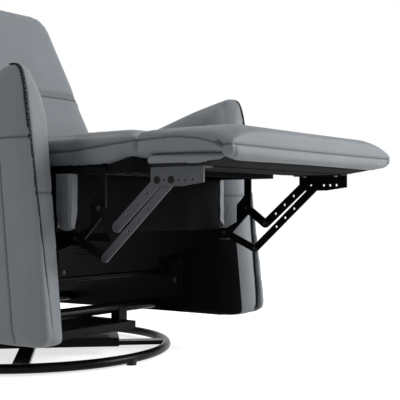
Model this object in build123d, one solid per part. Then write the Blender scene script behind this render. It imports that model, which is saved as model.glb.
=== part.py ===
from build123d import *
import os
from math import atan2, cos, degrees, hypot, radians, sin, sqrt

os.makedirs("parts", exist_ok=True)

# Frame: the chair faces -Y, +X is the sitter's left, +Z is up, the swivel axis is the Z axis at the floor.
# All sizes are in millimetres.

# Base on the floor
RING_RADIUS = 320.0
RING_TUBE = 20.0
FOOT_HEIGHT = 4.0
FOOT_WIDTH = 22.0
FOOT_COUNT = 6
FOOT_FIRST = 30.0
CROSS_WIDTH = 34.0
CROSS_HEIGHT = 10.0
CROSS_TURN = 45.0
PLATE_LENGTH = 410.0
PLATE_WIDTH = 196.0
PLATE_THICK = 20.0
BALL = 10.0
BALL_CIRCLE = 84.0
BALL_COUNT = 16
BALL_GAP = 5.0
KING_PIN = 26.0
PIN_GAP = 0.4

# Swivel frame
SWIVEL_PLATE_SIDE = 262.0
SWIVEL_PLATE_THICK = 10.0
FRAME_BAR_X = 118.0
FRAME_BAR_WIDTH = 26.0
FRAME_BAR_HEIGHT = 18.0
FRAME_BAR_LENGTH = 392.0
FRAME_BAR_MID_Y = -19.0
TUBE = 24.0
TUBE_WALL = 2.0
TUBE_FRONT_SET = 40.0
TUBE_REAR_SET = 57.0
TUBE_Z = 102.0
SADDLE_LENGTH = 26.0

# Arms
ARM_INNER = 252.0
ARM_THICK = 96.0
ARM_FRONT_LOW_Y = -430.0
ARM_FRONT_TOP_Y = -370.0
ARM_LOW_Z = 84.0
ARM_TOP_Z = 608.0
ARM_DIP_Y = -20.0
ARM_DIP_Z = 503.0
ARM_REAR_Y = 270.0
ARM_REAR_TOP_Z = 478.0
ARM_REAR_LOW_Z = 74.0
ARM_CORNER = 30.0
ARM_ROLL = 84.0
ARM_EDGE = 7.0
ARM_SKIM = 1.0
ARM_BOARD = 18.0
ARM_BOARD_INSET = 32.0
ARM_BOARD_TRIM = 18.0
ZIP_WIDTH = 7.0
ZIP_PROUD = 1.6
ZIP_SINK = 4.0
ZIP_LEAN = 18.0
ZIP_START = 30.0
ZIP_OVER = 45.0

# Side plates bolted to the arms, with the slide channels
SIDE_PLATE_THICK = 4.0
SIDE_PLATE_FRONT_Y = -262.0
SIDE_PLATE_REAR_Y = 165.0
SIDE_PLATE_LOW_Z = 84.0
SIDE_PLATE_TOP_Z = 246.0
BOLT = 6.0
BOLT_HEAD = 12.0
BOLT_HEAD_THICK = 2.5
BOLT_IN_BOARD = 12.0
BOLT_INSET = 24.0
CHANNEL_FRONT_Y = -234.0
CHANNEL_REAR_Y = 105.0
CHANNEL_LOW_Z = 206.0
CHANNEL_WALL = 4.0
SLIDE_GAP = 0.6
TONGUE_HEIGHT = 10.0
TONGUE_FRONT_Y = -208.0
TONGUE_REAR_Y = -62.0

# Seat
SEAT_PLATE_X = 231.0
SEAT_PLATE_THICK = 4.0
PLATE_TOP_GAP = 2.0
HINGE_LUG = 11.0
RIVET_LUG = 14.0
WINDOW_FRONT_Y = -430.0
WINDOW_REAR_Y = -340.0
WINDOW_LOW_Z = 287.0
RAIL_WIDTH = 26.0
RAIL_HEIGHT = 12.0
DECK_Z = 408.0
RAIL_FRONT_Y = -528.0
RAIL_REAR_Y = -72.0
CUSHION_GAP = 5.0
SEAT_FRONT_Y = -550.0
SEAT_REAR_Y = -42.0
SEAT_EDGE = 54.0
SEAT_CROWN = 20.0
SEAT_CORNER = 22.0
SEAT_LIFT_Y = -462.0
SEAT_LIFT = 20.0
SPRING_WIRE = 4.0
SPRING_COUNT = 5
SPRING_SPAN = 76.0
SPRING_LOOP = 34.0
SPRING_PITCH = 24.0
SPRING_LEAD = 20.0
SPRING_RISE = 4.0
SPRING_BEND = 5.0
CURTAIN_Y = -386.0
CURTAIN_THICK = 2.0
CURTAIN_LOW_Z = 284.0
FLAP_FRONT_WIDTH = 20.0
FLAP_SIDE_DEPTH = 38.0
FLAP_OUT = 246.0
FLAP_LOW_Z = 290.0
ROD = 12.0
ROD_Y = -188.0
ROD_Z = 178.0

# Soft forms: outward bulge of a padded edge, inward draw between corners, roundness of the edge
PAD_BULGE = 5.0
PAD_DRAW = 5.0
PAD_ROUND = 14.0
PAD_SKIM = 1.0

# Leg rest, turning about the crease between the two pads
CREASE_Y = -552.0
CREASE_Z = 414.0
PAD_GAP = 3.5
PAD_FRONT_Y = -776.0
PAD_EAR_Y = -784.0
PAD_REAR_HALF = 258.0
PAD_MID_HALF = 264.0
PAD_EAR_HALF = 286.0
PAD_LOW_HALF = 264.0
PAD_TOP_Z = 460.0
PAD_CROWN = 11.0
PAD_EAR_ROUND = 9.0
LIP_LOW_Z = 410.0
LIP_ROUND = 7.0
BOARD_REAR_Y = -584.0
BOARD_FRONT_Y = -757.0
BOARD_LOW_Z = 402.0
BOARD_TOP_Z = 424.0
BOARD_HALF = 263.0
BOARD_ROUND = 9.0
BOARD_RISE = 9.0
BRACKET_THICK = 3.0
BRACKET_REAR_Y = -586.0
BRACKET_FRONT_Y = -700.0
BRACKET_DROP = 33.0
BRACKET_CORNER = 10.0
BRACKET_RISE = 6.0
BRACKET_RUN = 0.58
BRACKET_FLANGE = 27.0
HOLE_PITCH = 15.0
SPARE_HOLE = 5.5
SCREW_INSET = 20.0
SCREW_HEAD = 10.0
SCREW_HEAD_THICK = 2.0
COVER_THICK = 1.5
COVER_GAP = 2.0
COVER_INSET = 12.0

# Linkage: pivots on the bracket, and how far each link reaches down and back from its pivot
PIVOT_REAR_Y = -600.0
PIVOT_FRONT_Y = -631.0
PIVOT_Z = 380.0
REAR_LINK_BACK = 98.0
REAR_LINK_DOWN = 82.0
FRONT_LINK_BACK = 157.0
FRONT_LINK_DOWN = 138.0
REAR_LINK_WIDTH = 19.0
FRONT_LINK_WIDTH = 16.0
LINK_THICK = 3.0
LAYER_GAP = 1.0
RIVET = 9.0
RIVET_HEAD = 13.0
RIVET_HEAD_THICK = 1.2
HOLE_GAP = 0.3

# Backrest
BACK_ANGLE = 29.6
BACK_Y = -31.0
BACK_Z = 430.0
BACK_HINGE_DEPTH = 112.0
BACK_HINGE_UP = 40.0
HINGE_SET = 18.0
BACK_HALF = 246.0
LUMBAR_LOW = 10.0
LUMBAR_HIGH = 212.0
LUMBAR_DEPTH = 78.0
HEAD_HIGH = 490.0
HEAD_DEPTH = 82.0
SEAM_GAP = 1.0
BACK_CROWN = 15.0
BACK_CORNER = 9.0
HEAD_CORNER = 66.0
FRAME_DEPTH = 24.0
UPRIGHT_OUT = 222.0
UPRIGHT_WIDTH = 26.0
FRAME_LOW = 4.0
FRAME_RAIL = 60.0
FRAME_CORNER = 46.0
PANEL_THICK = 12.0
PANEL_RIM = 18.0
PANEL_LOW = 64.0
PANEL_CORNER = 60.0
BACK_BRACKET_THICK = 4.0
BACK_BRACKET_WIDTH = 24.0
BACK_BRACKET_RISE = 120.0
HINGE_PIN = 11.0


def save(name, shape):
    export_step(shape, f"parts/{name}.step")


def slab(x0, x1, y0, y1, z0, z1):
    return Pos((x0 + x1) / 2, (y0 + y1) / 2, (z0 + z1) / 2) * Box(x1 - x0, y1 - y0, z1 - z0)


def pin_along_x(y, z, diameter, x0, x1):
    return Pos((x0 + x1) / 2, y, z) * Rot(Y=90) * Cylinder(diameter / 2, x1 - x0)


def plate_yz(sketch, x0, x1):
    return extrude(Plane.YZ.offset(x0) * sketch, amount=x1 - x0)


def outline(points):
    return make_face(Polyline(*points, close=True).edges())


def link_sketch(start, end, width, hole):
    length = hypot(end[0] - start[0], end[1] - start[1])
    turn = degrees(atan2(end[1] - start[1], end[0] - start[0]))
    middle = ((start[0] + end[0]) / 2, (start[1] + end[1]) / 2)
    body = Pos(*middle) * Rot(Z=turn) * SlotCenterToCenter(length, width)
    return body - Pos(*start) * Circle(hole / 2) - Pos(*end) * Circle(hole / 2)


def other_side(shape):
    return mirror(shape, about=Plane.YZ)


def save_pair(name, left):
    save(f"{name}_left", left)
    save(f"{name}_right", other_side(left))


def bowed(width, height, bow_side, bow_low, bow_high, low_corner, high_corner):
    # A four-sided face whose sides bow out, or in where the bow is below zero.
    w = width / 2
    h = height / 2
    low = Line((-w, -h), (w, -h))
    if bow_low != 0:
        low = ThreePointArc((-w, -h), (0, -h - bow_low), (w, -h))
    right = ThreePointArc((w, -h), (w + bow_side, 0), (w, h))
    high = ThreePointArc((w, h), (0, h + bow_high), (-w, h))
    left = ThreePointArc((-w, h), (-w - bow_side, 0), (-w, -h))
    face = make_face([low, right, high, left])
    face = fillet(face.vertices().sort_by(Axis.Y)[:2], low_corner)
    return fillet(face.vertices().sort_by(Axis.Y)[-2:], high_corner)


def cushion(width, depth, edge, crown, low_corner, high_corner):
    # Flat underneath at z 0, crowned on top, edges bulging, sides drawn in between the corners.
    w = width - 2 * PAD_BULGE
    d = depth - 2 * PAD_BULGE
    front = Pos(0, edge / 2) * bowed(w, edge, PAD_BULGE, 0, crown, PAD_ROUND, PAD_ROUND)
    across = extrude(Plane.XZ * front, depth, both=True)
    side = bowed(d, edge + 2 * PAD_SKIM, PAD_BULGE, 0, crown + PAD_SKIM, PAD_ROUND, PAD_ROUND)
    along = extrude(Plane.YZ * Pos(0, edge / 2 - PAD_SKIM) * side, width, both=True)
    wide = width + 2 * PAD_SKIM
    deep = depth + 2 * PAD_SKIM
    plan = bowed(wide, deep, -PAD_DRAW, -PAD_DRAW, -PAD_DRAW, low_corner, high_corner)
    return across & along & extrude(plan, edge + 2 * crown, both=True)


# Base: ring, feet, cross, bearing plate, balls and king pin
ring_z = FOOT_HEIGHT + RING_TUBE / 2
ring = Pos(0, 0, ring_z) * Torus(RING_RADIUS, RING_TUBE / 2)
save("base_ring", ring)
foot = Pos(RING_RADIUS, 0, ring_z / 2) * Cylinder(FOOT_WIDTH / 2, ring_z)
feet = [Rot(Z=FOOT_FIRST + 360 / FOOT_COUNT * i) * foot - ring for i in range(FOOT_COUNT)]
save("glide_feet", Compound(children=feet))
cross_low = ring_z - CROSS_HEIGHT / 2
cross_high = ring_z + CROSS_HEIGHT / 2
bar = slab(-RING_RADIUS, RING_RADIUS, -CROSS_WIDTH / 2, CROSS_WIDTH / 2, cross_low, cross_high)
bore = Pos(0, 0, ring_z) * Cylinder(KING_PIN / 2, 4 * CROSS_HEIGHT)
save("base_cross", (Rot(Z=CROSS_TURN) * bar) + (Rot(Z=-CROSS_TURN) * bar) - ring - bore)
ball_z = cross_high + PLATE_THICK + BALL_GAP / 2
groove = Pos(0, 0, ball_z) * Torus(BALL_CIRCLE, BALL / 2)
block = Pos(0, 0, cross_high + PLATE_THICK / 2) * Box(PLATE_LENGTH, PLATE_WIDTH, PLATE_THICK)
block = Rot(Z=-CROSS_TURN) * block
pin_bore = Pos(0, 0, ball_z) * Cylinder(KING_PIN / 2, 8 * PLATE_THICK)
save("base_plate", block - groove - pin_bore)
ball = Pos(BALL_CIRCLE, 0, ball_z) * Sphere(BALL / 2)
save("bearing_balls", Compound(children=[Rot(Z=360 / BALL_COUNT * i) * ball for i in range(BALL_COUNT)]))
top_low = cross_high + PLATE_THICK + BALL_GAP
top_high = top_low + SWIVEL_PLATE_THICK
pin_height = top_high - cross_low
save("king_pin", Pos(0, 0, cross_low + pin_height / 2) * Cylinder(KING_PIN / 2, pin_height))

# Swivel frame: upper plate, two bars with a cross bar in front, saddles and the two cross tubes
half_plate = SWIVEL_PLATE_SIDE / 2
upper = slab(-half_plate, half_plate, -half_plate, half_plate, top_low, top_high)
wide_bore = Pos(0, 0, top_low) * Cylinder(KING_PIN / 2 + PIN_GAP, 8 * PLATE_THICK)
save("swivel_plate", upper - groove - wide_bore)
bar_high = top_high + FRAME_BAR_HEIGHT
bar_front = FRAME_BAR_MID_Y - FRAME_BAR_LENGTH / 2
bar_rear = FRAME_BAR_MID_Y + FRAME_BAR_LENGTH / 2
bar_in = FRAME_BAR_X - FRAME_BAR_WIDTH / 2
bar_out = FRAME_BAR_X + FRAME_BAR_WIDTH / 2
save_pair("frame_bar", slab(bar_in, bar_out, bar_front, bar_rear, top_high, bar_high))
cross_bar = slab(-bar_in, bar_in, bar_front, bar_front + FRAME_BAR_WIDTH, top_high, bar_high)
save("frame_bar_front", cross_bar)
plate_in = ARM_INNER - SIDE_PLATE_THICK
tube_front_y = bar_front + TUBE_FRONT_SET
tube_rear_y = bar_rear - TUBE_REAR_SET
tubes = []
for tube_name, tube_y in (("base_tube_front", tube_front_y), ("base_tube_rear", tube_rear_y)):
    tube = pin_along_x(tube_y, TUBE_Z, TUBE, -plate_in, plate_in)
    tubes.append(tube)
    save(tube_name, tube - pin_along_x(tube_y, TUBE_Z, TUBE - 2 * TUBE_WALL, -plate_in, plate_in))
saddles = []
for side in (-1, 1):
    for tube_y in (tube_front_y, tube_rear_y):
        saddle = Pos(side * FRAME_BAR_X, tube_y, (bar_high + TUBE_Z) / 2)
        saddle = saddle * Box(FRAME_BAR_WIDTH, SADDLE_LENGTH, TUBE_Z - bar_high)
        saddles.append(saddle - tubes[0] - tubes[1])
save("saddle_brackets", Compound(children=saddles))

# Arms: seen from the side a raked front and a crest that falls to the rear
arm_outer = ARM_INNER + ARM_THICK
arm_points = [
    (ARM_FRONT_LOW_Y, ARM_LOW_Z),
    (ARM_FRONT_TOP_Y, ARM_TOP_Z),
    (ARM_DIP_Y, ARM_DIP_Z),
    (ARM_REAR_Y, ARM_REAR_TOP_Z),
    (ARM_REAR_Y, ARM_REAR_LOW_Z),
]


def arm_side(points):
    face = outline(points)
    return fillet(face.vertices().filter_by(lambda v: abs(v.X - ARM_DIP_Y) > ARM_EDGE), ARM_CORNER)


# The rolled edge sweeps from the outer edge, where the zip runs, round to the inner face
rake = (ARM_FRONT_TOP_Y - ARM_FRONT_LOW_Y) / (ARM_TOP_Z - ARM_LOW_Z)
front_rise = (ARM_TOP_Z - ARM_DIP_Z) / (ARM_DIP_Y - ARM_FRONT_TOP_Y)
rear_fall = (ARM_DIP_Z - ARM_REAR_TOP_Z) / (ARM_REAR_Y - ARM_DIP_Y)
roll_x = arm_outer - ARM_EDGE
roll_width = roll_x - ARM_INNER
nose = ARM_EDGE * (1 - sqrt(0.5))


def rolled(far):
    # One rolled corner at the origin level: outer edge small, inner edge wide, open towards the far end.
    outer = Line((arm_outer, far), (arm_outer, ARM_EDGE))
    small = ThreePointArc((arm_outer, ARM_EDGE), (arm_outer - nose, nose), (roll_x, 0))
    wide = EllipticalCenterArc((roll_x, ARM_ROLL), roll_width, ARM_ROLL, start_angle=180, arc_size=90)
    inner = Line((ARM_INNER, ARM_ROLL), (ARM_INNER, far))
    return make_face([outer, small, wide, inner, Line((ARM_INNER, far), (arm_outer, far))])


arm_length = ARM_REAR_Y - ARM_FRONT_LOW_Y
front_at_floor = ARM_FRONT_LOW_Y - rake * ARM_LOW_Z
raked = Pos(0, front_at_floor, 0) * rolled(2 * arm_length)
raked = extrude(raked, amount=1.2 * ARM_TOP_Z * sqrt(1 + rake**2), dir=(0, rake, 1))
crest_plane = Plane(origin=(0, ARM_DIP_Y, ARM_DIP_Z), x_dir=(1, 0, 0), z_dir=(0, 1, 0))
crest_face = crest_plane * rolled(2 * ARM_TOP_Z)
crest_front = extrude(crest_face, amount=arm_length * sqrt(1 + front_rise**2), dir=(0, -1, front_rise))
crest_rear = extrude(crest_face, amount=arm_length * sqrt(1 + rear_fall**2), dir=(0, 1, -rear_fall))
arm_face = arm_side(arm_points)
skim_points = [(y - ARM_SKIM, z + ARM_SKIM) for y, z in arm_points[:2]]
skim_points += [(ARM_DIP_Y, ARM_DIP_Z + ARM_SKIM), (ARM_REAR_Y, ARM_REAR_TOP_Z + ARM_SKIM), arm_points[-1]]
skim_points[0] = (ARM_FRONT_LOW_Y - ARM_SKIM, ARM_LOW_Z)
arm_block = plate_yz(arm_side(skim_points), ARM_INNER - ARM_EDGE, arm_outer + ARM_EDGE) & raked
arm_solid = (arm_block & crest_front) + (arm_block & crest_rear)
board_in = ARM_INNER + ARM_THICK / 2 - ARM_BOARD / 2
board_blank = plate_yz(offset(arm_face, -ARM_BOARD_INSET), board_in, board_in + ARM_BOARD)
arm_board = board_blank & Pos(0, ARM_BOARD_TRIM, -ARM_BOARD_TRIM) * board_blank
tongue_low = CHANNEL_LOW_Z + CHANNEL_WALL + SLIDE_GAP
tongue_high = tongue_low + TONGUE_HEIGHT
channel_high = tongue_high + SLIDE_GAP + CHANNEL_WALL
bolt_high = (channel_high + SIDE_PLATE_TOP_Z) / 2
bolt_low = (TUBE_Z + TUBE / 2 + CHANNEL_LOW_Z) / 2
bolt_spots = [
    (SIDE_PLATE_FRONT_Y + BOLT_INSET, bolt_low),
    (SIDE_PLATE_FRONT_Y + BOLT_INSET, bolt_high),
    (SIDE_PLATE_REAR_Y - BOLT_INSET, bolt_low),
    (SIDE_PLATE_REAR_Y - BOLT_INSET, bolt_high),
]
bolt_end = board_in + BOLT_IN_BOARD
bolt_shanks = [pin_along_x(y, z, BOLT, plate_in, bolt_end) for y, z in bolt_spots]
arm_pad = arm_solid - arm_board
for shank in bolt_shanks:
    arm_pad = arm_pad - shank
    arm_board = arm_board - shank
save_pair("arm_board", arm_board)
save_pair("arm", arm_pad)
zip_in = roll_x - ZIP_WIDTH / 2
zip_out = zip_in + ZIP_WIDTH
zip_ring = offset(arm_face, ZIP_PROUD) - offset(arm_face, -ZIP_SINK)
zip_lane = outline([
    (zip_in - ZIP_LEAN, ARM_LOW_Z),
    (zip_out - ZIP_LEAN, ARM_LOW_Z),
    (zip_out, ARM_TOP_Z - ARM_ROLL),
    (zip_out, ARM_TOP_Z + ARM_EDGE),
    (zip_in, ARM_TOP_Z + ARM_EDGE),
    (zip_in, ARM_TOP_Z - ARM_ROLL),
])
zip_band = plate_yz(zip_ring, ARM_INNER, zip_out) & extrude(Plane.XZ * zip_lane, arm_length, both=True)
zip_end_y = ARM_FRONT_TOP_Y + ZIP_OVER
zip_reach = slab(0, 2 * arm_outer, 2 * ARM_FRONT_LOW_Y, zip_end_y, ARM_LOW_Z + ZIP_START, 2 * ARM_TOP_Z)
arm_zip = (zip_band & zip_reach) - arm_solid
save("arm_zips", Compound(children=[arm_zip, other_side(arm_zip)]))

# Side plates, slide channels and the bolts into the arms
side_plate = slab(
    plate_in, ARM_INNER, SIDE_PLATE_FRONT_Y, SIDE_PLATE_REAR_Y, SIDE_PLATE_LOW_Z, SIDE_PLATE_TOP_Z
)
for shank in bolt_shanks:
    side_plate = side_plate - shank
save_pair("side_plate", side_plate)
bolts = []
for (y, z), shank in zip(bolt_spots, bolt_shanks):
    bolt = shank + pin_along_x(y, z, BOLT_HEAD, plate_in - BOLT_HEAD_THICK, plate_in)
    bolts.append(bolt)
    bolts.append(other_side(bolt))
save("arm_bolts", Compound(children=bolts))
seat_plate_out = SEAT_PLATE_X + SEAT_PLATE_THICK
channel_in = seat_plate_out + SLIDE_GAP
tongue_out = plate_in - CHANNEL_WALL - SLIDE_GAP
channel = slab(channel_in, plate_in, CHANNEL_FRONT_Y, CHANNEL_REAR_Y, CHANNEL_LOW_Z, channel_high)
channel_slot = slab(
    channel_in - CHANNEL_WALL,
    plate_in - CHANNEL_WALL,
    CHANNEL_FRONT_Y - CHANNEL_WALL,
    CHANNEL_REAR_Y + CHANNEL_WALL,
    CHANNEL_LOW_Z + CHANNEL_WALL,
    channel_high - CHANNEL_WALL,
)
save_pair("slide_channel", channel - channel_slot)

# Linkage points in (y, z)
rear_pivot = (PIVOT_REAR_Y, PIVOT_Z)
front_pivot = (PIVOT_FRONT_Y, PIVOT_Z)
rear_knee = (PIVOT_REAR_Y + REAR_LINK_BACK, PIVOT_Z - REAR_LINK_DOWN)
front_knee = (PIVOT_FRONT_Y + FRONT_LINK_BACK, PIVOT_Z - FRONT_LINK_DOWN)
rear_foot = (CREASE_Y + REAR_LINK_BACK, CREASE_Z - REAR_LINK_DOWN)
front_foot = (CREASE_Y + FRONT_LINK_BACK, CREASE_Z - FRONT_LINK_DOWN)
crank_in = seat_plate_out + LAYER_GAP
crank_out = crank_in + LINK_THICK
link_in = crank_out + LAYER_GAP
link_out = link_in + LINK_THICK
bracket_in = link_out + LAYER_GAP
bracket_out = bracket_in + BRACKET_THICK

# Backrest hinge point in (y, z)
lean = radians(BACK_ANGLE)
hinge_y = BACK_Y + BACK_HINGE_DEPTH * cos(lean) + BACK_HINGE_UP * sin(lean)
hinge_z = BACK_Z - BACK_HINGE_DEPTH * sin(lean) + BACK_HINGE_UP * cos(lean)

# Seat plates with slide tongues, carrying the link pivots in front and the backrest hinge behind
plate_top = DECK_Z - PLATE_TOP_GAP
plate_points = [
    (hinge_y - HINGE_LUG, hinge_z + HINGE_LUG),
    (hinge_y - 2 * HINGE_LUG, hinge_z - 3.3 * HINGE_LUG),
    (RAIL_REAR_Y + 2 * HINGE_LUG, hinge_z - 3.6 * HINGE_LUG),
    (RAIL_REAR_Y, plate_top),
    (WINDOW_REAR_Y, plate_top),
    (WINDOW_REAR_Y, WINDOW_LOW_Z),
    (front_foot[0] - RIVET_LUG / 2, WINDOW_LOW_Z),
    (WINDOW_FRONT_Y, WINDOW_LOW_Z + RIVET_LUG),
    (WINDOW_FRONT_Y, rear_foot[1] + RIVET_LUG / 2),
    (rear_foot[0] + RIVET_LUG / 4, rear_foot[1] + 2 * RIVET_LUG),
    (rear_foot[0] + RIVET_LUG / 4, plate_top),
    (rear_foot[0] - RIVET_LUG, plate_top),
    (rear_foot[0] - RIVET_LUG, rear_foot[1] - RIVET_LUG / 2),
    (rear_foot[0] - RIVET_LUG / 2, rear_foot[1] - RIVET_LUG),
    (front_foot[0] - RIVET_LUG, front_foot[1] - RIVET_LUG / 2),
    (front_foot[0] - RIVET_LUG / 2, front_foot[1] - RIVET_LUG),
    (front_foot[0] + RIVET_LUG, front_foot[1] - RIVET_LUG),
    (TONGUE_FRONT_Y, tongue_low),
    (ROD_Y - ROD, tongue_low),
    (ROD_Y - ROD, ROD_Z - ROD / 2),
    (ROD_Y - ROD / 2, ROD_Z - ROD),
    (ROD_Y + ROD / 2, ROD_Z - ROD),
    (ROD_Y + ROD, ROD_Z - ROD / 2),
    (ROD_Y + ROD, tongue_low),
    (TONGUE_REAR_Y, tongue_low),
    (TONGUE_REAR_Y + 3 * HINGE_LUG, tongue_high + 5 * HINGE_LUG),
    (hinge_y + HINGE_LUG, hinge_z - 2 * HINGE_LUG),
    (hinge_y + 1.5 * HINGE_LUG, hinge_z + HINGE_LUG / 2),
]
plate_sketch = outline(plate_points)
for y, z, hole in (
    (rear_foot[0], rear_foot[1], RIVET),
    (front_foot[0], front_foot[1], RIVET),
    (hinge_y, hinge_z, HINGE_PIN),
    (ROD_Y, ROD_Z, ROD),
):
    plate_sketch = plate_sketch - Pos(y, z) * Circle(hole / 2)
seat_plate = plate_yz(plate_sketch, SEAT_PLATE_X, seat_plate_out)
tongue = slab(seat_plate_out, tongue_out, TONGUE_FRONT_Y, TONGUE_REAR_Y, tongue_low, tongue_high)
save_pair("seat_plate", seat_plate + tongue)
upright_in = UPRIGHT_OUT - UPRIGHT_WIDTH
pins = []
for y, z in (rear_foot, front_foot):
    pins.append(pin_along_x(y, z, RIVET, SEAT_PLATE_X, crank_out))
pins.append(pin_along_x(hinge_y, hinge_z, HINGE_PIN, UPRIGHT_OUT, seat_plate_out))
save("pivot_pins", Compound(children=pins + [other_side(p) for p in pins]))
save("cross_rod", pin_along_x(ROD_Y, ROD_Z, ROD, -seat_plate_out, seat_plate_out))

# Seat frame: rails follow the underside of the cushion, which lifts towards the front
rail_in = SEAT_PLATE_X - RAIL_WIDTH
rail_low = DECK_Z - RAIL_HEIGHT
rail_front_rear = RAIL_FRONT_Y + RAIL_WIDTH
rail_rear_front = RAIL_REAR_Y - RAIL_WIDTH
lift_slope = SEAT_LIFT / (SEAT_LIFT_Y - SEAT_FRONT_Y)


def seat_under(y):
    return DECK_Z + lift_slope * (SEAT_LIFT_Y - y)


side_rail = outline([
    (rail_front_rear, rail_low),
    (RAIL_REAR_Y, rail_low),
    (RAIL_REAR_Y, DECK_Z),
    (SEAT_LIFT_Y, DECK_Z),
    (rail_front_rear, seat_under(rail_front_rear)),
])
save_pair("seat_rail", plate_yz(side_rail, rail_in, SEAT_PLATE_X))
front_rail = outline([
    (RAIL_FRONT_Y, rail_low),
    (rail_front_rear, rail_low),
    (rail_front_rear, seat_under(rail_front_rear)),
    (RAIL_FRONT_Y, seat_under(RAIL_FRONT_Y)),
])
save("seat_rail_front", plate_yz(front_rail, -SEAT_PLATE_X, SEAT_PLATE_X))
save("seat_rail_rear", slab(-rail_in, rail_in, rail_rear_front, RAIL_REAR_Y, rail_low, DECK_Z))

# Seat springs, cushion, front curtain and its side flaps
spring_z = DECK_Z - SPRING_WIRE / 2
spring_length = rail_rear_front - rail_front_rear
turns = int((spring_length - 2 * SPRING_LEAD) / SPRING_PITCH)
lead = (spring_length - turns * SPRING_PITCH) / 2
path = [(0, rail_front_rear), (0, rail_front_rear + lead)]
for i in range(turns):
    reach = SPRING_LOOP / 2 if i % 2 == 0 else -SPRING_LOOP / 2
    start = rail_front_rear + lead + i * SPRING_PITCH
    path += [(reach, start + SPRING_RISE), (reach, start + SPRING_PITCH - SPRING_RISE)]
path += [(0, rail_rear_front - lead), (0, rail_rear_front)]
spring_line = FilletPolyline(*[(x, y, spring_z) for x, y in path], radius=SPRING_BEND)
spring_start = Plane(origin=(0, rail_front_rear, spring_z), z_dir=(0, 1, 0))
spring = sweep(spring_start * Circle(SPRING_WIRE / 2), path=spring_line)
springs = [Pos((i - (SPRING_COUNT - 1) / 2) * SPRING_SPAN, 0, 0) * spring for i in range(SPRING_COUNT)]
save("seat_springs", Compound(children=springs))
seat_half = ARM_INNER - CUSHION_GAP
seat_depth = SEAT_REAR_Y - SEAT_FRONT_Y
seat_shape = cushion(2 * seat_half, seat_depth, SEAT_EDGE, SEAT_CROWN, SEAT_CORNER, SEAT_CORNER)
seat_shape = Pos(0, (SEAT_REAR_Y + SEAT_FRONT_Y) / 2, DECK_Z) * seat_shape
lift_end = SEAT_FRONT_Y - SEAT_LIFT
lift_cut = outline([(SEAT_LIFT_Y, DECK_Z), (lift_end, seat_under(lift_end)), (lift_end, DECK_Z)])
save("seat_cushion", seat_shape - plate_yz(lift_cut, -ARM_INNER, ARM_INNER))
flap_front = CURTAIN_Y - CURTAIN_THICK
curtain_half = SEAT_PLATE_X - CURTAIN_THICK
curtain_rear = CURTAIN_Y + CURTAIN_THICK
curtain = slab(-curtain_half, curtain_half, CURTAIN_Y, curtain_rear, CURTAIN_LOW_Z, rail_low)
save("front_curtain", curtain)
flap = slab(FLAP_OUT - FLAP_FRONT_WIDTH, FLAP_OUT, flap_front, CURTAIN_Y, FLAP_LOW_Z, rail_low)
flap_rear = flap_front + FLAP_SIDE_DEPTH
flap = flap + slab(FLAP_OUT - CURTAIN_THICK, FLAP_OUT, flap_front, flap_rear, FLAP_LOW_Z, rail_low)
save_pair("side_flap", flap)

# Leg rest: wrapped board, pad with a lip over the board's front, underside cover, brackets, screws, rivets
board = slab(-BOARD_HALF, BOARD_HALF, BOARD_FRONT_Y, BOARD_REAR_Y, BOARD_LOW_Z, BOARD_TOP_Z)
board = fillet(board.edges().filter_by(Axis.Y), BOARD_ROUND)
rise_start = (BRACKET_FRONT_Y, BOARD_LOW_Z)
rise_cut = outline([rise_start, (BOARD_FRONT_Y, BOARD_LOW_Z + BOARD_RISE), (BOARD_FRONT_Y, BOARD_LOW_Z)])
save("legrest_board", board - plate_yz(rise_cut, -BOARD_HALF, BOARD_HALF))
pad_rear = CREASE_Y - PAD_GAP
pad_mid_y = (pad_rear + PAD_FRONT_Y) / 2
pad_plan = make_face([
    Line((-PAD_REAR_HALF, pad_rear), (PAD_REAR_HALF, pad_rear)),
    ThreePointArc((PAD_REAR_HALF, pad_rear), (PAD_MID_HALF, pad_mid_y), (PAD_EAR_HALF, PAD_EAR_Y)),
    ThreePointArc((PAD_EAR_HALF, PAD_EAR_Y), (0, PAD_FRONT_Y), (-PAD_EAR_HALF, PAD_EAR_Y)),
    ThreePointArc((-PAD_EAR_HALF, PAD_EAR_Y), (-PAD_MID_HALF, pad_mid_y), (-PAD_REAR_HALF, pad_rear)),
])
pad_plan = fillet(pad_plan.vertices(), PAD_EAR_ROUND)
pad_back = pad_rear + PAD_SKIM
pad_nose = PAD_EAR_Y - PAD_SKIM
pad_side = make_face([
    Line((pad_back, BOARD_TOP_Z), (pad_back, PAD_TOP_Z)),
    ThreePointArc((pad_back, PAD_TOP_Z), (pad_mid_y, PAD_TOP_Z + PAD_CROWN), (pad_nose, PAD_TOP_Z)),
    Line((pad_nose, PAD_TOP_Z), (pad_nose, LIP_LOW_Z)),
    Line((pad_nose, LIP_LOW_Z), (BOARD_FRONT_Y, LIP_LOW_Z)),
    Line((BOARD_FRONT_Y, LIP_LOW_Z), (BOARD_FRONT_Y, BOARD_TOP_Z)),
    Line((BOARD_FRONT_Y, BOARD_TOP_Z), (pad_back, BOARD_TOP_Z)),
])
pad_side_low = pad_side.vertices().sort_by(Axis.Y)[:2].sort_by(Axis.X)[0]
pad_side = fillet(pad_side_low, 2 * LIP_ROUND)
pad_tops = pad_side.vertices().sort_by(Axis.Y)[-2:]
pad_side = fillet(pad_tops, 2 * LIP_ROUND)
pad_height = PAD_TOP_Z - LIP_LOW_Z
pad_bulge = PAD_EAR_HALF - PAD_LOW_HALF
pad_across = bowed(2 * PAD_LOW_HALF, pad_height, pad_bulge, 0, 2 * PAD_CROWN, LIP_ROUND, LIP_ROUND)
pad_across = Pos(0, (PAD_TOP_Z + LIP_LOW_Z) / 2) * pad_across
pad_reach = 2 * abs(PAD_EAR_Y)
pad = extrude(pad_plan, PAD_TOP_Z + 2 * PAD_CROWN) & plate_yz(pad_side, -pad_reach, pad_reach)
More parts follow.
